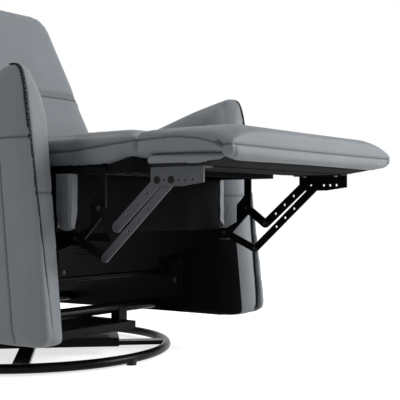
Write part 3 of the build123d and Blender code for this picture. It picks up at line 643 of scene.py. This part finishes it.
def zip_casts(side):
    casts = []
    for before, after in zip(zip_route, zip_route[1:]):
        run = (after - before).normalized()
        inward = Vector((0, run.z, -run.y))
        lane = float(np.interp(before.z, ZIP_LANE_Z, ZIP_LANE_X))
        casts.append((before + Vector((side * lane, 0, 0)) - inward * ZIP_CAST_OFF, inward))
    return casts


def smoothed(line, rounds):
    # Evens a line out, each point moving to the mean of itself and its neighbours.
    for _ in range(rounds):
        inside = [(a + b + c) / 3 for a, b, c in zip(line, line[1:], line[2:])]
        line = [line[0], *inside, line[-1]]
    return line


def lane_out(lane, step):
    # The way out of the cover at one step of the zip's lane, square to the lane.
    run = (lane[min(step + 3, len(lane) - 1)] - lane[max(step - 3, 0)]).normalized()
    return run, Vector((0, -run.z, run.y)).normalized()


def zip_tooth(made, spot, run, out):
    # One moulded tooth with bevelled edges, lying across the line.
    turn = Matrix((out.cross(run), run, out)).transposed().to_4x4()
    size = Matrix.Diagonal((*TOOTH, 1))
    block = bmesh.ops.create_cube(made, size=1, matrix=Matrix.Translation(spot) @ turn @ size)
    edges = {edge for vert in block["verts"] for edge in vert.link_edges}
    bmesh.ops.bevel(
        made, geom=list(edges), offset=TOOTH_EDGE, affect="EDGES", segments=1, profile=0.5, material=-1
    )


def thicken(piece, amount):
    thick = piece.modifiers.new("thick", "SOLIDIFY")
    thick.thickness = amount
    thick.offset = 0


tape = bmesh.new()
for hand, side in (("right", -1), ("left", 1)):
    # The lane the zip sinks into is darkened with painted shade.
    lane = sew(arm_covers[hand], zip_casts(side), depth=0.0030, width=0.0050, dark=0.95)
    lane = smoothed(lane, LANE_ROUNDS)
    strip = bmesh.ops.create_grid(tape, x_segments=len(lane) - 1, y_segments=2, size=0.5)["verts"]
    for vert in strip:
        step = round((vert.co.x + 0.5) * (len(lane) - 1))
        out = lane_out(lane, step)[1]
        vert.co = lane[step] + Vector((2 * TAPE_HALF * vert.co.y, 0, 0)) + out * TAPE_PROUD
    teeth = bmesh.new()
    travelled = 0.0
    flip = 1
    for step in range(len(lane) - 1):
        travelled += (lane[step + 1] - lane[step]).length
        if travelled < TOOTH_PITCH:
            continue
        travelled -= TOOTH_PITCH
        flip = -flip
        run, out = lane_out(lane, step)
        spot = lane[step] + Vector((side * flip * TOOTH_SHIFT, 0, 0)) + out * (TAPE_PROUD + TOOTH_PROUD)
        zip_tooth(teeth, spot, run, out)
    zipper = new_piece(f"zip_teeth_{hand}", teeth, zip_teeth)
    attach(zipper, "chassis")
bmesh.ops.recalc_face_normals(tape, faces=tape.faces)
tapes = new_piece("zip_tapes", tape, zip_tape)
thicken(tapes, TAPE_THICK)
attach(tapes, "chassis")
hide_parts("arm_zips")

# Seat curtain and side flaps
# A sheet of black lining hangs before the mechanism, and a narrow grey leather flap wraps each end of it.
# Both are stapled up under the seat rails and hang free at the bottom.
CURTAIN_THICK = 0.0014
curtain_low, curtain_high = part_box("front_curtain")
made = bmesh.new()
bmesh.ops.create_grid(made, x_segments=72, y_segments=18, size=0.5)
for vert in made.verts:
    x = curtain_low.x + (vert.co.x + 0.5) * (curtain_high.x - curtain_low.x)
    drop = 0.5 - vert.co.y
    z = curtain_high.z - drop * (curtain_high.z - curtain_low.z)
    ripple = 0.0022 * math.sin(x * 37 + 0.6) + 0.0012 * math.sin(x * 83 + 2.0 * drop)
    vert.co = (x, (curtain_low.y + curtain_high.y) / 2 + drop * ripple, z)
curtain = new_piece("curtain_cloth", made, black_cloth)
thicken(curtain, CURTAIN_THICK)
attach(curtain, "seat")
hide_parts("front_curtain")

# A darker copy of the grey leatherette: painted shade for the flaps hanging under the seat.
flap_leather_painted_shade = leatherette("flap_leatherette_painted_shade", (0.125, 0.135, 0.145), (0.16, 0.172, 0.184))
FLAP_LENGTH = 0.106
FLAP_FRONT = 0.019
FLAP_SIDE = 0.037
FLAP_BEND = 0.006
FLAP_SET = 0.001
for hand, side in (("right", -1), ("left", 1)):
    low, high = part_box(f"side_flap_{hand}")
    outside = high.x if side > 0 else low.x
    made = bmesh.new()
    bmesh.ops.create_grid(made, x_segments=26, y_segments=30, size=0.5)
    for vert in made.verts:
        run = (vert.co.x + 0.5) * (FLAP_FRONT + FLAP_SIDE)
        drop = 0.5 - vert.co.y
        narrow = 1 - 0.10 * max(0.0, drop - 0.55) ** 2 / 0.2
        run = FLAP_FRONT + (run - FLAP_FRONT) * narrow
        lower = drop * FLAP_LENGTH * (1 - 0.16 * abs(vert.co.x * 2) ** 3)
        wave = drop * (0.0010 * math.sin(run * 210) + 0.0008 * math.sin(lower * 160 + run * 60))
        inset = max(0.0, FLAP_BEND - abs(run - FLAP_FRONT)) ** 2 / (2 * FLAP_BEND)
        x = outside - side * (FLAP_SET + inset)
        y = low.y + FLAP_SET + inset
        if run < FLAP_FRONT:
            x -= side * (FLAP_FRONT - run)
            y += wave
        else:
            x += side * wave
            y += run - FLAP_FRONT
        vert.co = (x, y, high.z - lower)
    bmesh.ops.recalc_face_normals(made, faces=made.faces)
    flap = new_piece(f"flap_leather_painted_shade_{hand}", made, flap_leather_painted_shade)
    thicken(flap, CURTAIN_THICK)
    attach(flap, "seat")
    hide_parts(f"side_flap_{hand}")

# Seat cushion
# One foam cushion between the arms, reaching forward past them, with a boxed edge lifting to the front.
# A plain seam runs round the edge, and the cover is gathered where it goes in beside the arms.


def around(half, low, high, bend, to_world, step=CAST_STEP, out=0.04):
    # Casts inward all round a flat outline with rounded corners, in across and along measures.
    spots = []
    for cx, cy, first in (
        (half - bend, high - bend, 0),
        (-half + bend, high - bend, 90),
        (-half + bend, low + bend, 180),
        (half - bend, low + bend, 270),
    ):
        for i in range(13):
            turn = math.radians(first + 90 * i / 12)
            away = (math.cos(turn), math.sin(turn))
            spots.append(((cx + bend * away[0], cy + bend * away[1]), away))
    casts = []
    for (start, start_out), (end, end_out) in zip(spots, spots[1:] + spots[:1]):
        count = max(1, round(math.dist(start, end) / step))
        for i in range(count):
            t = i / count
            spot = [a + (b - a) * t for a, b in zip(start, end)]
            face = [a + (b - a) * t for a, b in zip(start_out, end_out)]
            begin = to_world(spot[0] + face[0] * out, spot[1] + face[1] * out)
            casts.append((begin, to_world(*spot) - begin))
    return casts


SEAT_HALF = 0.247
SEAT_FRONT_Y = -0.550
SEAT_REAR_Y = -0.042
DECK_Z = 0.408
SEAT_UNDER_Y = -0.470
SEAT_BEND = 0.022
SEAT_SEAM_Y = (-0.545, -0.381, -0.1)
SEAT_SEAM_Z = (0.452, 0.438, 0.434)
BETWEEN_ARMS = 0.2495
GATHERS = ((-0.395, 0.032, 1.0), (-0.515, 0.02, 0.5))
GATHER_DEPTH = 0.0042
GATHER_SHADE = 0.45
GATHER_RATE = 480


def seat_seam_z(y):
    return float(np.interp(y, SEAT_SEAM_Y, SEAT_SEAM_Z))


def cloth_below(piece, cloth, facing, front=-1.0):
    # Dresses the faces that look down in lining cloth, behind the given front.
    piece.data.materials.append(cloth)
    for face in piece.data.polygons:
        if face.normal.z < facing and face.center.y > front:
            face.material_index = 1


seat = stuffed(
    ["seat_cushion"],
    "seat_cover",
    shrink=0.002,
    voxel=0.006,
    pressure=4.0,
    cap=0.008,
    walls=[
        ((0, 0, DECK_Z), (0, 0, -1)),
        ((0, SEAT_FRONT_Y - 0.0012, 0), (0, -1, 0)),
        ((BETWEEN_ARMS, 0, 0), (1, 0, 0)),
        ((-BETWEEN_ARMS, 0, 0), (-1, 0, 0)),
    ],
)
place = read_points(seat, "co")
facing = read_points(seat, "normal")
gather = sum(share * np.exp(-(((place[:, 1] - y) / wide) ** 2)) for y, wide, share in GATHERS)
gather *= np.clip(np.abs(facing[:, 0]) * 1.3, 0, 1)
ridge = np.sin((place[:, 1] + 0.25 * (place[:, 2] - 0.44)) * GATHER_RATE) ** 2
place -= facing * (GATHER_DEPTH * gather * ridge)[:, None]
write_points(seat, place)
# The gathers' hollows are darkened with painted shade.
seat.data.attributes["crease_shade"].data.foreach_set("value", GATHER_SHADE * gather * ridge)
seat_seam = around(
    SEAT_HALF, SEAT_FRONT_Y, SEAT_REAR_Y, SEAT_BEND, lambda x, y: Vector((x, y, seat_seam_z(y)))
)
thread("seat_thread", "seat", [sew(seat, seat_seam, depth=0.003, width=0.0036, pucker=0.0011)])
cloth_below(seat, black_cloth, facing=-0.9, front=SEAT_UNDER_Y)
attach(seat, "seat")
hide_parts("seat_cushion")

# Leg rest
# A leather-wrapped board under a thick pad whose front lip laps over the board, with pointed front corners.
# The side seam arches and drops to the front seam, and black lining is stretched over the underside.
CREASE_Y = -0.552
PAD_SEAM_Y = (-0.756, -0.740, -0.700, -0.646, -0.554)
PAD_SEAM_Z = (0.432, 0.437, 0.446, 0.452, 0.449)
PAD_SEAM_HALF = 0.27
PAD_SEAM_FRONT_Y = -0.778
PAD_SEAM_BEND = 0.008


def pad_seam_z(y):
    return float(np.interp(y, PAD_SEAM_Y, PAD_SEAM_Z))


pad = stuffed(
    ["legrest_pad"],
    "legrest_cover_pad",
    shrink=0.001,
    voxel=0.005,
    pressure=4.0,
    cap=0.004,
    walls=[((0, CREASE_Y - 0.0025, 0), (0, 1, 0))],
    rounds=1,
)
EAR_TIP = (0.287, -0.785, 0.4335)
EAR_PULL = 0.6
EAR_REACH = 0.036
EAR_FALL = 0.8
EAR_FALL_REACH = 0.10
place = read_points(pad, "co")
for side in (-1, 1):
    reach = np.array((side * EAR_TIP[0], *EAR_TIP[1:])) - place
    away = np.linalg.norm(reach, axis=1)
    pull = EAR_PULL * np.clip(1 - away / EAR_REACH, 0, 1) ** 1.5
    place += reach * pull[:, None]
    level_away = np.hypot(reach[:, 0], reach[:, 1])
    slope = EAR_FALL * np.clip(1 - level_away / EAR_FALL_REACH, 0, 1) ** 2
    place[:, 2] += np.minimum(EAR_TIP[2] - place[:, 2], 0) * slope
write_points(pad, place)
pad_seam = around(
    PAD_SEAM_HALF,
    PAD_SEAM_FRONT_Y,
    CREASE_Y - 0.0035,
    PAD_SEAM_BEND,
    lambda x, y: Vector((x, y, pad_seam_z(y))),
)
pad_lines = [sew(pad, pad_seam, depth=0.0014, width=0.0026, pucker=0.0004)]
NOTCH = ((-0.748, 0.4365), (-0.757, 0.430))
NOTCH_OFF_X = 0.33
TAB_OFF = (0.30, -0.82)
TAB_Z = (0.428, 0.407)
TAB_AIM = (-0.62, 0.78)
for side in (-1, 1):
    notch = along([(side * NOTCH_OFF_X, *spot) for spot in NOTCH], (-side, 0, 0))
    # The notch is painted dark with shade, and the tab below it gets a line of painted shade.
    sew(pad, notch, depth=0.005, width=0.0045, dark=1.0)
    tab = along([(side * TAB_OFF[0], TAB_OFF[1], z) for z in TAB_Z], (side * TAB_AIM[0], TAB_AIM[1], 0))
    pad_lines.append(sew(pad, tab, depth=0.002, width=0.003, dark=0.7))
thread("pad_thread", "legrest", pad_lines)
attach(pad, "legrest")
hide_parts("legrest_pad")

# A paler copy of the black lining: painted light for the floor's bounce on the leg rest's underside.
lining_painted_bounce = lining_cloth("underside_lining_painted_light", (0.017, 0.017, 0.018), (0.026, 0.026, 0.027))
BOARD_TOP_Z = 0.424
BOARD_LOW_Z = 0.402
BOARD_FRONT_Y = -0.757
board = stuffed(
    ["legrest_board"],
    "legrest_wrap",
    shrink=0.0015,
    voxel=0.005,
    pressure=2.0,
    cap=0.003,
    walls=[
        ((0, 0, BOARD_TOP_Z), (0, 0, 1)),
        ((0, 0, BOARD_LOW_Z), (0, 0, -1)),
        ((0, BOARD_FRONT_Y, 0), (0, -1, 0)),
    ],
    frames=10,
)
cloth_below(board, lining_painted_bounce, facing=-0.6)
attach(board, "legrest")
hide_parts("legrest_board")

LINING_THICK = 0.0012
LINING_SAG = 0.0012
LINING_WAVE = 0.0006
LINING_DROP = 0.0008
lining_low, lining_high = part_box("legrest_cover")
made = bmesh.new()
bmesh.ops.create_grid(made, x_segments=48, y_segments=16, size=0.5)
for vert in made.verts:
    hang = (1 - (2 * vert.co.x) ** 8) * (1 - (2 * vert.co.y) ** 6)
    crease = LINING_WAVE * math.sin(vert.co.x * 60 + vert.co.y * 9) * hang
    x = (lining_low.x + lining_high.x) / 2 + vert.co.x * (lining_high.x - lining_low.x)
    y = (lining_low.y + lining_high.y) / 2 + vert.co.y * (lining_high.y - lining_low.y)
    vert.co = (x, y, lining_high.z - LINING_DROP - LINING_SAG * hang + crease)
lining = new_piece("legrest_lining", made, lining_painted_bounce)
thicken(lining, LINING_THICK)
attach(lining, "legrest")
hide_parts("legrest_cover")

# Crease strip
# A narrow strip of the same leather sewn between the seat and the leg rest, tucked into the crease.
STRIP_HALF = 0.232
STRIP_Z = 0.458
STRIP_DIP = 0.008
STRIP_FRONT = 0.0034
STRIP_REAR = 0.0018
made = bmesh.new()
bmesh.ops.create_grid(made, x_segments=60, y_segments=16, size=0.5)
strip_front = CREASE_Y - STRIP_FRONT
strip_rear = CREASE_Y + STRIP_REAR
for vert in made.verts:
    across = vert.co.y + 0.5
    dip = STRIP_DIP * math.sin(math.pi * across) * (1 + 0.15 * math.sin(vert.co.x * 90))
    y = strip_rear + (strip_front - strip_rear) * across
    vert.co = (vert.co.x * 2 * STRIP_HALF, y, STRIP_Z - dip)
bmesh.ops.recalc_face_normals(made, faces=made.faces)
strip = new_piece("crease_strip", made, grey_leather)
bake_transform(strip)

# Backrest
# A low cushion for the back and a tall one for the head, drawn together at a crease under one leather cover.
# The cover has a boxed edge with a seam near the front, and a leather-covered panel closes the rear.
BACK_LEAN = math.radians(29.6)
BACK_Y = -0.031
BACK_Z = 0.430
BACK_HALF = 0.246
FRAME_FRONT = 0.094
back_across = Vector((1, 0, 0))
back_in = Vector((0, math.cos(BACK_LEAN), -math.sin(BACK_LEAN)))
back_up = Vector((0, math.sin(BACK_LEAN), math.cos(BACK_LEAN)))


def leaned(x, depth, up):
    return Vector((0, BACK_Y, BACK_Z)) + back_across * x + back_in * depth + back_up * up


BACK_LOW = 0.010
BACK_HIGH = 0.490
BACK_BEND = 0.060
JOIN = 0.2125
TUCK = 0.005
TUCK_ABOVE = 0.022
TUCK_BELOW = 0.004
TUCK_FADE = 0.03
FILL_REACH = 0.060
FILL_EDGE = 0.19
FILL_DEPTH = 0.045
LEVEL_HALF = 0.003
back = stuffed(
    ["lumbar_cushion", "head_cushion"],
    "back_cover",
    shrink=-0.0025,
    voxel=0.006,
    pressure=4.0,
    cap=0.005,
    walls=[
        (leaned(0, FRAME_FRONT, 0), back_in),
        ((BETWEEN_ARMS, 0, 0), (1, 0, 0)),
        ((-BETWEEN_ARMS, 0, 0), (-1, 0, 0)),
    ],
)
# The groove between the two cushions is filled out to their straight sides, and the head's edge is tucked in.
place = read_points(back, "co")
height = (place - np.array(leaned(0, 0, 0))) @ np.array(back_up)
depth = (place - np.array(leaned(0, 0, 0))) @ np.array(back_in)
levels = np.linspace(JOIN - FILL_REACH, JOIN + FILL_REACH, 61)
at_level = [np.abs(height - up) < LEVEL_HALF for up in levels]
widest = np.array([np.abs(place[near, 0]).max() for near in at_level])
full = np.interp(levels, levels[[0, -1]], widest[[0, -1]])
place[:, 0] *= np.interp(height, levels, full / widest)
edge = np.abs(place[:, 0]) > FILL_EDGE
foremost = np.array([depth[edge & near].min() for near in at_level])
fill = np.maximum(foremost - np.interp(levels, levels[[0, -1]], foremost[[0, -1]]), 0)
front = np.clip(1 - (depth - np.interp(height, levels, foremost)) / FILL_DEPTH, 0, 1)
above = height - JOIN
tuck = TUCK * np.exp(-((above / np.where(above > 0, TUCK_ABOVE, TUCK_BELOW)) ** 2))
tuck *= np.clip((BACK_HALF - np.abs(place[:, 0])) / TUCK_FADE, 0, 1)
place += np.outer((tuck - np.interp(height, levels, fill)) * front, np.array(back_in))
write_points(back, place)
BEFORE_BACK = -0.1
BESIDE_BACK = 0.32
UNDER_HEAD_HALF = 0.232
UNDER_HEAD_UP = JOIN + 0.014
CREASE_UP = JOIN + 0.003
CREASE_DEPTHS = (0.008, 0.085)
BACK_SEAM_DEPTH = 0.046
shade_ends = (-UNDER_HEAD_HALF, UNDER_HEAD_HALF)
# Painted shade under the rolled lower edge of the head cushion, with a shallow dip.
shade_under_head = along([leaned(x, BEFORE_BACK, UNDER_HEAD_UP) for x in shade_ends], back_in)
sew(back, shade_under_head, depth=0.0015, width=0.013, dark=0.42)
# The crease itself gets a dark line of painted shade.
crease = along([leaned(-BESIDE_BACK, deep, CREASE_UP) for deep in reversed(CREASE_DEPTHS)], back_across)
crease += along([leaned(x, BEFORE_BACK, CREASE_UP) for x in (-BACK_HALF, BACK_HALF)], back_in)
crease += along([leaned(BESIDE_BACK, deep, CREASE_UP) for deep in CREASE_DEPTHS], -back_across)
sew(back, crease, depth=0.0012, width=0.0050, dark=0.95)
edge_seam = around(BACK_HALF, BACK_LOW, BACK_HIGH, BACK_BEND, lambda x, up: leaned(x, BACK_SEAM_DEPTH, up))
thread("back_thread", "backrest", [sew(back, edge_seam, depth=0.0024, width=0.0032, pucker=0.0007)])
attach(back, "backrest")
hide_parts("lumbar_cushion", "head_cushion")

PANEL_REAR = 0.130
PANEL_SEAM = ((-0.215, 0.085), (-0.215, 0.46), (0.215, 0.46), (0.215, 0.085))
rear = stuffed(
    ["back_panel"], "back_panel_cover", shrink=0.002, voxel=0.006, pressure=1.5, cap=0.004, frames=10
)
panel_seam = along([leaned(x, PANEL_REAR + CAST_OFF, up) for x, up in PANEL_SEAM], -back_in)
thread("back_panel_thread", "backrest", [sew(rear, panel_seam, depth=0.0024, width=0.0034, pucker=0.0006)])
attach(rear, "backrest")
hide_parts("back_panel")

# Floor, light and camera
# A plain white floor under soft studio light from the front, seen low from the sitter's right.
# The floor and the sky show as white to the camera and to shiny pieces, and the floor keeps the shadow.
made = bmesh.new()
bmesh.ops.create_grid(made, x_segments=1, y_segments=1, size=30)
white, white_body = shader("white_floor", 0.9, specular=0.1)
white_body.inputs["Base Color"].default_value = (0.85, 0.85, 0.85, 1)
floor = new_piece("floor", made, white)


def seen_directly(tree):
    # One where a ray comes straight from the camera, off a shiny surface or through glass.
    path = tree.nodes.new("ShaderNodeLightPath")
    first = tree.nodes.new("ShaderNodeMath")
    first.operation = "MAXIMUM"
    second = tree.nodes.new("ShaderNodeMath")
    second.operation = "MAXIMUM"
    tree.links.new(path.outputs["Is Camera Ray"], first.inputs[0])
    tree.links.new(path.outputs["Is Glossy Ray"], first.inputs[1])
    tree.links.new(first.outputs[0], second.inputs[0])
    tree.links.new(path.outputs["Is Transmission Ray"], second.inputs[1])
    return second.outputs[0]


def level(tree, source, low, high):
    made = tree.nodes.new("ShaderNodeMapRange")
    made.inputs["To Min"].default_value = low
    made.inputs["To Max"].default_value = high
    tree.links.new(source, made.inputs["Value"])
    return made.outputs["Result"]


FLOOR_GLOW = 0.72
FLOOR_BOUNCE = 0.72
floor_tree = white.node_tree
floor_seen = seen_directly(floor_tree)
glow = floor_tree.nodes.new("ShaderNodeEmission")
dull = floor_tree.nodes.new("ShaderNodeBsdfDiffuse")
dull.inputs["Color"].default_value = (FLOOR_BOUNCE, FLOOR_BOUNCE, FLOOR_BOUNCE, 1)
both = floor_tree.nodes.new("ShaderNodeAddShader")
choose = floor_tree.nodes.new("ShaderNodeMixShader")
glow.inputs["Strength"].default_value = FLOOR_GLOW
floor_tree.links.new(glow.outputs["Emission"], both.inputs[0])
floor_tree.links.new(white_body.outputs["BSDF"], both.inputs[1])
floor_tree.links.new(floor_seen, choose.inputs["Fac"])
floor_tree.links.new(dull.outputs["BSDF"], choose.inputs[1])
floor_tree.links.new(both.outputs["Shader"], choose.inputs[2])
floor_tree.links.new(choose.outputs["Shader"], floor_tree.nodes["Material Output"].inputs["Surface"])

SKY_LIGHT = 0.37
world = bpy.data.worlds.new("studio")
scene.world = world
world.use_nodes = True
sky = world.node_tree.nodes["Background"]
sky.inputs["Color"].default_value = (1, 1, 1, 1)
sky_level = level(world.node_tree, seen_directly(world.node_tree), SKY_LIGHT, 1.0)
world.node_tree.links.new(sky_level, sky.inputs["Strength"])


def soft_lamp(name, place, aim, size, power):
    lamp = bpy.data.lights.new(name, "AREA")
    lamp.size = size
    lamp.energy = power
    holder = bpy.data.objects.new(name, lamp)
    holder.location = place
    holder.rotation_euler = (Vector(aim) - Vector(place)).to_track_quat("-Z", "Y").to_euler()
    scene.collection.objects.link(holder)


soft_lamp("front_key", (1.9, -3.0, 1.3), (0, -0.2, 0.4), 1.8, 98)
soft_lamp("side_fill", (-3.2, 0.6, 0.9), (-0.3, -0.2, 0.4), 1.8, 9)
soft_lamp("top_fill", (0, 0.2, 3.2), (0, 0, 0.4), 2.4, 14)

FOCAL_PIXELS = 872.0
FRAME_PIXELS = 400.0
camera_data = bpy.data.cameras.new("photo_camera")
camera_data.sensor_width = 36.0
camera_data.lens = camera_data.sensor_width * FOCAL_PIXELS / FRAME_PIXELS
camera = bpy.data.objects.new("photo_camera", camera_data)
camera.location = (-1.380, -1.562, 0.333)
camera.rotation_euler = (math.radians(90.5), 0, math.radians(-52.5))
scene.collection.objects.link(camera)
scene.camera = camera
